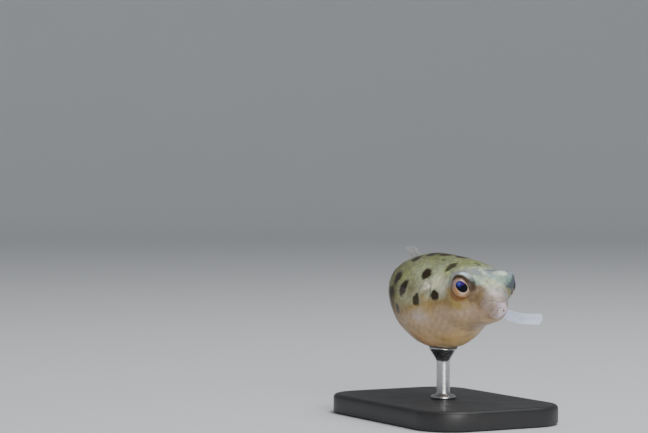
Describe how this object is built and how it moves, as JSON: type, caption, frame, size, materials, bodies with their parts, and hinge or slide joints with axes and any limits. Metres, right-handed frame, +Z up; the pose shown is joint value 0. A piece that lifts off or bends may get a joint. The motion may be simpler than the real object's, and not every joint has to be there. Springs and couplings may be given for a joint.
{
  "type": "freshwater pufferfish",
  "caption": "Life-size spotted dwarf pufferfish, full-bellied, fins spread and tail folded aside, held on a rod above a flat display base.",
  "frame": {"origin": "middle of the underside of the display base, on the surface that the model stands on", "axes": "+X towards the fish's nose, along the length of the base; +Y to the fish's left; +Z up"},
  "size_m": [0.024, 0.018, 0.0176],
  "materials": {
    "skin": "smooth wet skin, olive above with black spots, pale below",
    "fin": "thin clear membrane on fine rays",
    "eye": "clear dome over a dark pupil and a cream to orange iris",
    "beak": "ivory, smooth",
    "stand_base": "black, satin, softened edges",
    "stand_metal": "fine turned steel"
  },
  "bodies": {
    "root": {"lips": "skin", "beak_upper": "beak", "beak_lower": "beak", "head": "skin", "trunk": "skin", "tail": "skin", "eye_right": "eye", "eye_left": "eye", "pectoral_fin_right": "fin", "pectoral_fin_left": "fin", "dorsal_fin": "fin", "anal_fin": "fin", "caudal_fin": "fin", "stand_base": "stand_base", "stand_rod": "stand_metal"}
  },
  "joints": []
}
